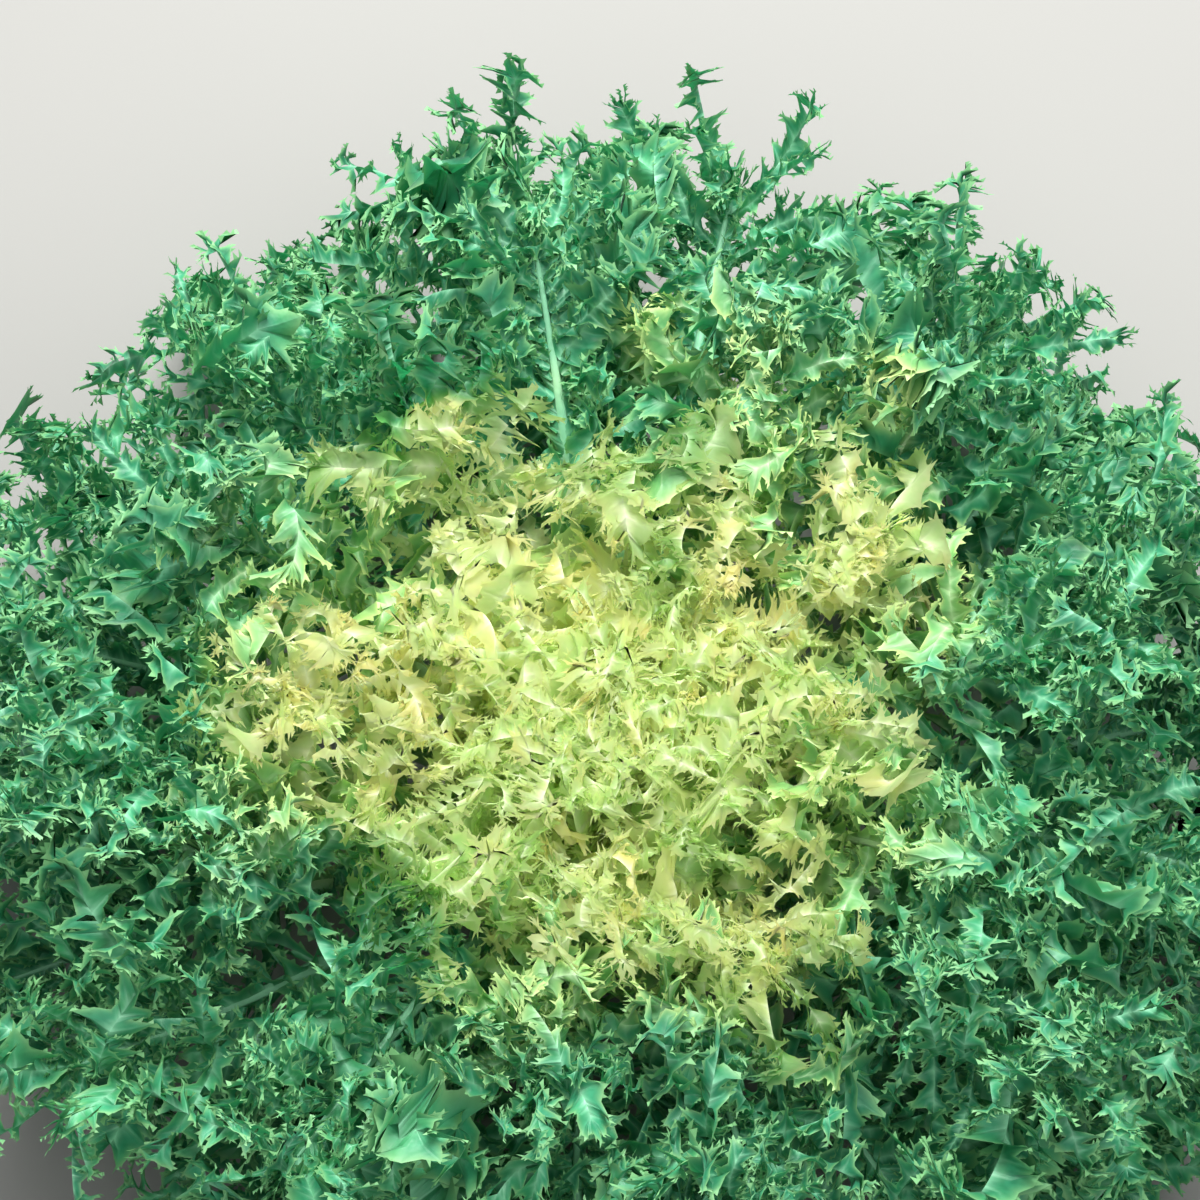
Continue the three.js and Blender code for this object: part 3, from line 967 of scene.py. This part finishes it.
@dataclass
class Wire:
    """A node's output that reads like a number, so that shader maths is written as plain Python.

    Attributes:
        board: The board that the node is on.
        socket: The output.
    """

    board: "Board"
    socket: bpy.types.NodeSocket

    __add__, __radd__ = math_operator("ADD")
    __sub__, __rsub__ = math_operator("SUBTRACT")
    __mul__, __rmul__ = math_operator("MULTIPLY")
    __truediv__, __rtruediv__ = math_operator("DIVIDE")
    __pow__, __rpow__ = math_operator("POWER")


class Board:
    """The node board of one new material."""

    noise_roughness: ClassVar[float] = 0.55

    def __init__(self, name: str) -> None:
        """Starts an empty material.

        Args:
            name: The material's name.
        """
        self.material = bpy.data.materials.new(name)
        self.material.use_nodes = True
        self.tree = self.material.node_tree
        self.tree.nodes.clear()

    def add(
        self, kind: str, settings: dict | None = None, inputs: dict | None = None, output: int | str = 0
    ) -> Wire:
        """Adds a node.

        Args:
            kind: The node's type.
            settings: Its settings, which are set first.
            inputs: Its sockets by number or name, each with a value or a wire.
            output: The output that is wanted, by number or name.

        Returns:
            That output.
        """
        node = self.tree.nodes.new(kind)
        for setting, value in (settings or {}).items():
            setattr(node, setting, value)
        for name, value in (inputs or {}).items():
            if isinstance(value, Wire):
                self.tree.links.new(value.socket, node.inputs[name])
            else:
                node.inputs[name].default_value = value
        return Wire(self, node.outputs[output])

    def blend(self, share: Wire | float, first: Wire | Colour, second: Wire | Colour) -> Wire:
        """Mixes two colours, which are sockets 6 and 7 of a Mix node and come out of its output 2."""
        return self.add("ShaderNodeMix", {"data_type": "RGBA"}, {0: share, 6: first, 7: second}, 2)

    def clamp(self, value: Wire) -> Wire:
        """Keeps a value between 0 and 1."""
        return self.add("ShaderNodeClamp", {}, {"Value": value})

    def noise(self, at: Wire, scale: float, detail: float = 1.0) -> Wire:
        """Adds a noise texture at a place and returns its value."""
        inputs = {"Vector": at, "Scale": scale, "Detail": detail, "Roughness": self.noise_roughness}
        return self.add("ShaderNodeTexNoise", {}, inputs, "Fac")

    def read(self, attribute: str, output: str) -> Wire:
        """Reads an attribute of the mesh."""
        return self.add("ShaderNodeAttribute", {"attribute_name": attribute}, {}, output)

    def part(self, vector: Wire, axis: str) -> Wire:
        """Returns one part of a vector."""
        return self.add("ShaderNodeSeparateXYZ", {}, {"Vector": vector}, axis)

    def bump(self, height: Wire, strength: float, depth: float) -> Wire:
        """Raises and sinks the surface with a height, up to a depth."""
        return self.add("ShaderNodeBump", {}, {"Strength": strength, "Distance": depth, "Height": height})

    def skin(self, inputs: dict) -> Wire:
        """Adds an ordinary surface."""
        return self.add("ShaderNodeBsdfPrincipled", {}, inputs)

    def cross(self, share: Wire, first: Wire, second: Wire) -> Wire:
        """Mixes two surfaces."""
        return self.add("ShaderNodeMixShader", {}, {0: share, 1: first, 2: second})

    def finish(self, surface: Wire) -> bpy.types.Material:
        """Links the surface to the material's output.

        Args:
            surface: The surface.

        Returns:
            The material.
        """
        node = self.tree.nodes.new("ShaderNodeOutputMaterial")
        self.tree.links.new(surface.socket, node.inputs["Surface"])
        return self.material


@dataclass(frozen=True)
class Tones:
    """The colours of a blade in one part of the head.

    Attributes:
        deep: Its darker colour.
        bright: Its lighter colour; the heart's is whitened, so that its patches are painted highlights.
        rib: The ribs' and veins' colour.
        margin: The colour of the teeth, partly their own paler colour and partly a painted highlight along
            the edges.
        glow: The colour of the light that comes through where it is thin.
        warm: The colour of its yellower patches.
        dim: The colour of the light that comes through where it is thicker, near the middle.
    """

    deep: Colour
    bright: Colour
    rib: Colour
    margin: Colour
    glow: Colour
    warm: Colour
    dim: Colour | None = None


# Each set's teeth colour is partly the teeth's own paler colour and partly a painted highlight.
GREENS = Tones(
    deep=srgb(10, 95, 67),
    bright=srgb(64, 172, 126),
    rib=srgb(142, 210, 168),
    margin=srgb(136, 196, 134),
    glow=srgb(44, 162, 96),
    warm=srgb(78, 164, 98),
)
LIMES = Tones(
    deep=srgb(84, 156, 92),
    bright=srgb(144, 202, 124),
    rib=srgb(196, 228, 172),
    margin=srgb(200, 224, 142),
    glow=srgb(138, 198, 98),
    dim=srgb(84, 160, 80),
    warm=srgb(168, 206, 106),
)
# The heart's bright colour is whitened: its patches are painted highlights.
YELLOWS = Tones(
    deep=srgb(182, 212, 134),
    bright=srgb(222, 230, 172),
    rib=srgb(236, 239, 208),
    margin=srgb(242, 236, 176),
    glow=srgb(253, 253, 226),
    dim=srgb(204, 242, 160),
    warm=srgb(248, 232, 146),
)


@dataclass(frozen=True)
class LeafFinish:
    """The living surface of a sort of leaf, which is paler where it is shaded, near the heart's middle.

    Attributes:
        slot: The record's material slot.
        inner: Its colours near the middle.
        outer: Its colours far from it.
        change: The distances from the middle that the change from one to the other begins and ends at.
        through: How much light comes through, 0 to 1.
        roughness: The blade's mean roughness.
        all_green: The distances that the change to the outermost leaves' green begins and ends at.
    """

    slot: str
    inner: Tones
    outer: Tones
    change: Pair
    through: float
    roughness: float
    all_green: Pair = (0.132, 0.165)

    # How many patches, mottles and sunned patches there are in a metre, and how far patches and a lobe's
    # own tone shift the changes of colour, in metres.
    scales: Triple = (45.0, 420.0, 90.0)
    shifts: Pair = (0.1, 0.04)

    # A vein is this many times narrower than its finger at the rib, and that many more at the edge, where
    # it fades by a share.
    vein_narrows: Pair = (2.0, 3.0)
    vein_fades: float = 0.8

    # What the lobe's tone, patches and mottle add to the shade from deep to bright, and where that starts.
    # These are random patches of tone; in the heart their whitened bright end is a painted highlight.
    shade_by: Triple = (0.6, 1.5, 0.6)
    shade_start: float = 0.52

    # Where sunned patches start, what the lobe's tone adds to them, and how sharp and strong they are.
    sun_start: float = 0.64
    sun_by_tone: float = 0.3
    sun_sharp: float = 4.0
    sun_most: float = 0.6

    # The pale teeth and rib: the powers that narrow them, and how pale the teeth are without and with
    # patches, and the rib and the veins. The teeth are pale partly in their own colour and partly as a
    # painted highlight along the edges.
    margin_and_highlight_power: float = 5.0
    margin_and_highlight_pale: Pair = (0.6, 0.9)
    rib_power: float = 3.0
    rib_pale: Pair = (0.8, 0.4)

    # How far veins, rib and mottle stand up, what mottle and rib do to the roughness, and how much of the
    # light the rib keeps out.
    relief: Triple = (0.6, 0.3, 0.6)
    relief_strength: float = 0.6
    relief_depth: float = 0.0007
    roughness_by: Pair = (0.25, -0.06)
    shine: float = 0.36
    rib_shades: float = 0.4

    def material(self) -> bpy.types.Material:
        """Makes the finish.

        Returns:
            The material.
        """
        board = Board(f"{self.slot}_surface")
        marks = board.read("leaf_marks", "Vector")
        edge, out, rib = (board.part(marks, axis) for axis in "XYZ")
        place = board.read("leaf_place", "Vector")
        tone = board.part(place, "Z")
        patches, mottle, sunned = (board.noise(place, scale) for scale in self.scales)
        wander = (patches - 0.5) * self.shifts[0] + (tone - 0.5) * self.shifts[1]
        away = board.read("leaf_distance", "Fac") + wander
        green, greenest = (
            board.clamp((away - near) * (1.0 / (far - near))) for near, far in (self.change, self.all_green)
        )

        narrow, narrower = self.vein_narrows
        vein = board.clamp(1.0 - edge * (narrow + out * narrower)) * (1.0 - out * self.vein_fades)
        by_tone, by_patch, by_mottle = self.shade_by
        # Random darker and lighter patches; in the heart the lighter ones are painted highlights.
        shade = tone * by_tone + patches * by_patch - self.shade_start + (mottle - 0.5) * by_mottle
        shade = board.clamp(shade)
        sun = (sunned + tone * self.sun_by_tone - self.sun_start) * self.sun_sharp
        sun = board.clamp(sun) * self.sun_most
        # The teeth: partly their own paler colour, partly a painted highlight along the edges.
        plain, patched = self.margin_and_highlight_pale
        margin = board.clamp(out**self.margin_and_highlight_power * (plain + patches * patched))
        pale = board.clamp(rib**self.rib_power * self.rib_pale[0] + vein * self.rib_pale[1])
        colour = self._tone(board, "deep", green, greenest)
        for share, part in ((shade, "bright"), (sun, "warm"), (margin, "margin"), (pale, "rib")):
            colour = board.blend(share, colour, self._tone(board, part, green, greenest))

        by_vein, by_rib, by_mottle = self.relief
        height = vein * by_vein + rib * by_rib + mottle * by_mottle
        by_mottle, by_rib = self.roughness_by
        roughness = self.roughness + (mottle - 0.5) * by_mottle + rib * by_rib
        skin = board.skin({
            "Base Color": colour,
            "Roughness": roughness,
            "Normal": board.bump(height, self.relief_strength, self.relief_depth),
            "Specular IOR Level": self.shine,
        })
        light = self._light(board, (shade, sun, green, greenest))
        through = board.clamp(self.through * (1.0 - rib * self.rib_shades))
        return board.finish(board.cross(through, skin, light))

    def _tone(self, board: Board, part: str, green: Wire, greenest: Wire) -> Wire:
        """Blends one of the colours over the head.

        Args:
            board: The material's board.
            part: The colour's name in Tones.
            green: How far the change from the inner to the outer colours has come.
            greenest: How far the change to the outermost leaves' green has come.

        Returns:
            The colour.
        """
        paler = board.blend(green, getattr(self.inner, part), getattr(self.outer, part))
        return board.blend(greenest, paler, getattr(GREENS, part))

    def _light(self, board: Board, shares: tuple[Wire, ...]) -> Wire:
        """Makes the light that comes through the blade, crossing five colours of it in turn.

        Args:
            board: The material's board.
            shares: How thin, sunned, green and outermost the blade is.

        Returns:
            The light.
        """
        colours = (self.inner.dim, self.inner.glow, self.inner.warm, self.outer.glow, GREENS.glow)
        light, *others = [board.add("ShaderNodeBsdfTranslucent", {}, {"Color": each}) for each in colours]
        for share, other in zip(shares, others):
            light = board.cross(share, light, other)
        return light


FINISHES = {
    Kind.GREEN: LeafFinish(
        slot="green_leaf", inner=LIMES, outer=GREENS, change=(0.07, 0.105), through=0.28, roughness=0.44,
    ),
    Kind.LIME: LeafFinish(
        slot="lime_leaf", inner=LIMES, outer=GREENS, change=(0.085, 0.13), through=0.34, roughness=0.44,
    ),
    Kind.HEART: LeafFinish(
        slot="heart_leaf", inner=YELLOWS, outer=LIMES, change=(0.092, 0.13), through=0.8, roughness=0.46,
    ),
}


@dataclass(frozen=True)
class StemFinish:
    """The pale stem with its browned cut face."""

    slot: str = "stem"
    flesh: Colour = srgb(228, 230, 196)
    shade: Colour = srgb(190, 198, 146)
    browned: Colour = srgb(170, 128, 82)
    cut_height: float = 0.0012
    blotch_scale: float = 160.0
    grain_scale: float = 900.0
    details: Pair = (4.0, 3.0)
    browning: float = 1.5
    grain_relief: float = 0.4
    relief_strength: float = 0.5
    relief_depth: float = 0.0008
    roughness: Pair = (0.5, 0.2)

    def material(self) -> bpy.types.Material:
        """Makes the finish.

        Returns:
            The material.
        """
        board = Board(f"{self.slot}_surface")
        place = board.add("ShaderNodeTexCoord", {}, {}, "Object")
        blotch, grain = (
            board.noise(place, scale, detail)
            for scale, detail in zip((self.blotch_scale, self.grain_scale), self.details)
        )
        near_cut = board.clamp((self.cut_height - board.part(place, "Z")) / self.cut_height)
        flesh = board.blend(blotch, self.flesh, self.shade)
        smooth, rougher = self.roughness
        height = blotch + grain * self.grain_relief
        return board.finish(board.skin({
            "Base Color": board.blend(board.clamp(near_cut * blotch * self.browning), flesh, self.browned),
            "Roughness": smooth + grain * rougher,
            "Normal": board.bump(height, self.relief_strength, self.relief_depth),
        }))


def put(name: str, data: bpy.types.ID) -> bpy.types.Object:
    """Puts a mesh, a lamp or a camera in the scene.

    Args:
        name: Its name.
        data: What it is.

    Returns:
        The new object.
    """
    thing = bpy.data.objects.new(name, data)
    bpy.context.scene.collection.objects.link(thing)
    return thing


def show(blade: Blade, material: bpy.types.Material, node: str) -> None:
    """Puts a finished piece in the scene in place of its CAD node.

    Args:
        blade: The piece's mesh.
        material: Its finish.
        node: The CAD node that it stands for.
    """
    name = f"{node}_fine"
    piece = put(name, blade.mesh(name))
    piece.data.materials.append(material)
    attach(piece, BODY)
    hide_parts(node)
    log.info("%s: %d faces in place of %s", name, len(piece.data.polygons), node)


@dataclass
class Foliage:
    """All the separate leaves of the head."""

    plan: HeadPlan

    def build(self, materials: dict[Kind, bpy.types.Material]) -> None:
        """Builds every leaf.

        Args:
            materials: The finish of each sort of leaf.
        """
        for index in range(self.plan.leaf_count):
            kind = self.plan.kind(index)
            leaf = FrilledLeaf(self.plan.path(index), kind, self.plan.half_width(index), index)
            blade = Blade()
            leaf.grow(blade)
            show(blade, materials[kind], f"{kind.value}_leaf_{index + 1:02d}")


@dataclass
class Bud:
    """The youngest leaves, crowded on top of the stem."""

    plan: HeadPlan
    leaves: int = 16
    tip_radii: Pair = (0.040, 0.006)
    tip_heights: Pair = (0.114, 0.130)
    tip_shift: float = 0.006
    half_widths: Pair = (0.020, 0.015)
    root_radii: Pair = (0.0034, 0.0006)
    start_angles: Pair = (70.0, 88.0)
    tip_angles: Pair = (80.0, 150.0)
    azimuth_shift: float = 26.0
    drift: float = 30.0
    first_lobe: float = 0.42

    def build(self, material: bpy.types.Material) -> None:
        """Builds the bud as one piece.

        Args:
            material: Its finish.
        """
        blade = Blade()
        for index in range(self.leaves):
            rank = index / (self.leaves - 1)
            number = self.plan.leaf_count + index
            tip_radius = mix(*self.tip_radii, rank) + self.tip_shift * sway(number, Purpose.TIP_RADIUS)
            azimuth = self.plan.spiral_angle(number) + self.azimuth_shift * sway(number, Purpose.AZIMUTH)
            path = LeafPath(
                root=(mix(*self.root_radii, rank), self.plan.stem_height),
                tip=(tip_radius, mix(*self.tip_heights, draw(number, Purpose.TIP_HEIGHT))),
                start_angle=mix(*self.start_angles, rank),
                tip_angle=mix(*self.tip_angles, draw(number, Purpose.TIP_ANGLE)),
                azimuth=math.radians(azimuth),
                drift=math.radians(self.drift * sway(number, Purpose.DRIFT)),
            )
            half_width = mix(*self.half_widths, rank)
            leaf = FrilledLeaf(path, Kind.BUD, half_width, number, first_lobe=self.first_lobe)
            leaf.grow(blade)
        show(blade, material, "heart_bud")


@dataclass
class Stem:
    """The short stem core with rows of shallow leaf scars and a rough cut face."""

    plan: HeadPlan
    sides: int = 72
    rings: int = 60
    cut_rings: int = 12
    roughness: float = 0.0002
    scar_depth: float = 0.02
    scar_turns: float = 3.0
    scar_pitches: Pair = (900.0, 1400.0)
    smooth_radius: float = 0.001

    def build(self, material: bpy.types.Material) -> None:
        """Builds the stem.

        Args:
            material: Its finish.
        """
        plan, rng = self.plan, np.random.default_rng(SEED)
        cut = [(share * plan.stem_foot_radius, 0.0) for share in np.linspace(0.0, 1.0, self.cut_rings)]
        heights = np.linspace(0.0, plan.stem_height, self.rings)[1:]
        side = [(self._radius(height), height) for height in heights]
        profile = np.array(cut + side + [(0.0, plan.stem_height)])
        angle = np.linspace(0.0, 2.0 * math.pi, self.sides + 1)
        radius = profile[:, 0][:, None] * np.ones_like(angle)[None, :]
        height = profile[:, 1][:, None] * np.ones_like(angle)[None, :]
        bumps = rng.uniform(-1.0, 1.0, radius.shape)
        bumps[:, -1] = bumps[:, 0]
        first, second = self.scar_pitches
        scars = np.sin(self.scar_turns * angle[None, :] + height * first) * np.sin(height * second)
        rough = np.abs(bumps) * self.roughness * (radius > self.smooth_radius)
        radius = radius * (1.0 - self.scar_depth * (1.0 + scars) / 2.0) - rough
        points = np.stack([radius * np.cos(angle), radius * np.sin(angle), height], axis=-1)
        points[:, -1] = points[:, 0]
        blade = Blade()
        blade.grid(points, np.zeros_like(points), points)
        show(blade, material, "stem_core")

    def _radius(self, height: float) -> float:
        """Works out the stem's radius at a height, with its foot drawn in.

        Args:
            height: The height.

        Returns:
            The radius.
        """
        plan = self.plan
        if height < plan.stem_widest_height:
            return mix(plan.stem_foot_radius, plan.stem_widest_radius, height / plan.stem_widest_height)
        return plan.stem_radius(height)


@dataclass
class Studio:
    """The plain pale floor, the soft lights and the camera.

    Attributes:
        elevation: The camera's height above the horizon.
        lens: The camera's focal length, in millimetres.
        frame_side: The side of the picture, in pixels.
        heart_pixel: Where the middle of the heart stands in the picture.
        heart_width_pixels: How wide the heart is there.
        heart_width: How wide the heart is.
        heart_height: How high its top stands.
        lit_point: The point that the lamps shine at.
    """

    elevation: float = 75.0
    lens: float = 120.0
    sensor: float = 36.0
    frame_side: int = 1200
    heart_pixel: tuple[int, int] = (610, 730)
    heart_width_pixels: int = 690
    heart_width: float = 0.200
    heart_height: float = 0.156
    camera_range: float = 50.0
    floor_size: float = 6.0
    floor_colour: Colour = srgb(153, 152, 148)
    floor_mottle: Colour = srgb(147, 146, 142)
    floor_scale: float = 3.0
    floor_roughness: float = 0.8
    sky_colour: Colour = srgb(226, 232, 240)
    sky_strength: float = 0.22
    lit_point: Triple = (0.0, 0.0, 0.1)

    def _aim(self, thing: bpy.types.Object, target: Vector) -> None:
        """Turns a camera or a lamp towards a point."""
        thing.rotation_euler = (target - thing.location).to_track_quat("-Z", "Y").to_euler()

    def camera(self) -> None:
        """Places the camera so that the heart stands where it should and has its width."""
        rise = math.radians(self.elevation)
        back = Vector((0.0, -math.cos(rise), math.sin(rise)))
        up = Vector((0.0, math.sin(rise), math.cos(rise)))
        right = Vector((1.0, 0.0, 0.0))
        metres_a_pixel = self.heart_width / self.heart_width_pixels
        middle = self.frame_side / 2
        heart = Vector((0.0, 0.0, self.heart_height))
        target = heart - right * (self.heart_pixel[0] - middle) * metres_a_pixel
        target += up * (self.heart_pixel[1] - middle) * metres_a_pixel
        distance = self.frame_side * metres_a_pixel * self.lens / self.sensor
        data = bpy.data.cameras.new("camera")
        data.lens = self.lens
        data.sensor_width = self.sensor
        data.clip_end = self.camera_range
        camera = put("camera", data)
        camera.location = target + back * distance
        self._aim(camera, target)
        bpy.context.scene.camera = camera

    def lamp(self, name: str, place: Triple, size: float, power: float) -> None:
        """Adds one soft square lamp that shines on the head.

        Args:
            name: The lamp's name.
            place: Where it hangs.
            size: Its side.
            power: Its power, in watts.
        """
        data = bpy.data.lights.new(name, "AREA")
        data.shape = "SQUARE"
        data.size = size
        data.energy = power
        lamp = put(name, data)
        lamp.location = place
        self._aim(lamp, Vector(self.lit_point))

    def build(self) -> None:
        """Builds the floor, the lights, the world and the camera."""
        scene = bpy.context.scene
        board = Board("floor_surface")
        place = board.add("ShaderNodeTexCoord", {}, {}, "Object")
        grain = board.noise(place, self.floor_scale, 2.0)
        colour = board.blend(grain, self.floor_colour, self.floor_mottle)
        skin = board.skin({"Base Color": colour, "Roughness": self.floor_roughness})
        half = self.floor_size / 2
        mesh = bpy.data.meshes.new("floor")
        corners = [(-half, -half, 0.0), (half, -half, 0.0), (half, half, 0.0), (-half, half, 0.0)]
        mesh.from_pydata(corners, [], [(0, 1, 2, 3)])
        floor = put("floor", mesh)
        floor.data.materials.append(board.finish(skin))

        world = bpy.data.worlds.new("studio")
        scene.world = world
        world.use_nodes = True
        sky = world.node_tree.nodes["Background"].inputs
        sky["Color"].default_value = self.sky_colour
        sky["Strength"].default_value = self.sky_strength
        self.lamp("key", place=(0.0, 1.05, 1.2), size=0.9, power=52.0)
        self.lamp("fill", place=(0.25, -0.2, 1.45), size=1.8, power=17.0)
        scene.view_settings.view_transform = "Standard"
        self.camera()


def main() -> None:
    """Builds the studio and every part of the head, in order."""
    logging.basicConfig(level=logging.INFO, format="%(message)s")
    plan = HeadPlan()
    Studio().build()
    materials = {kind: finish.material() for kind, finish in FINISHES.items()}
    Foliage(plan).build(materials)
    Bud(plan).build(materials[Kind.HEART])
    Stem(plan).build(StemFinish().material())


if __name__ == "__main__":
    main()
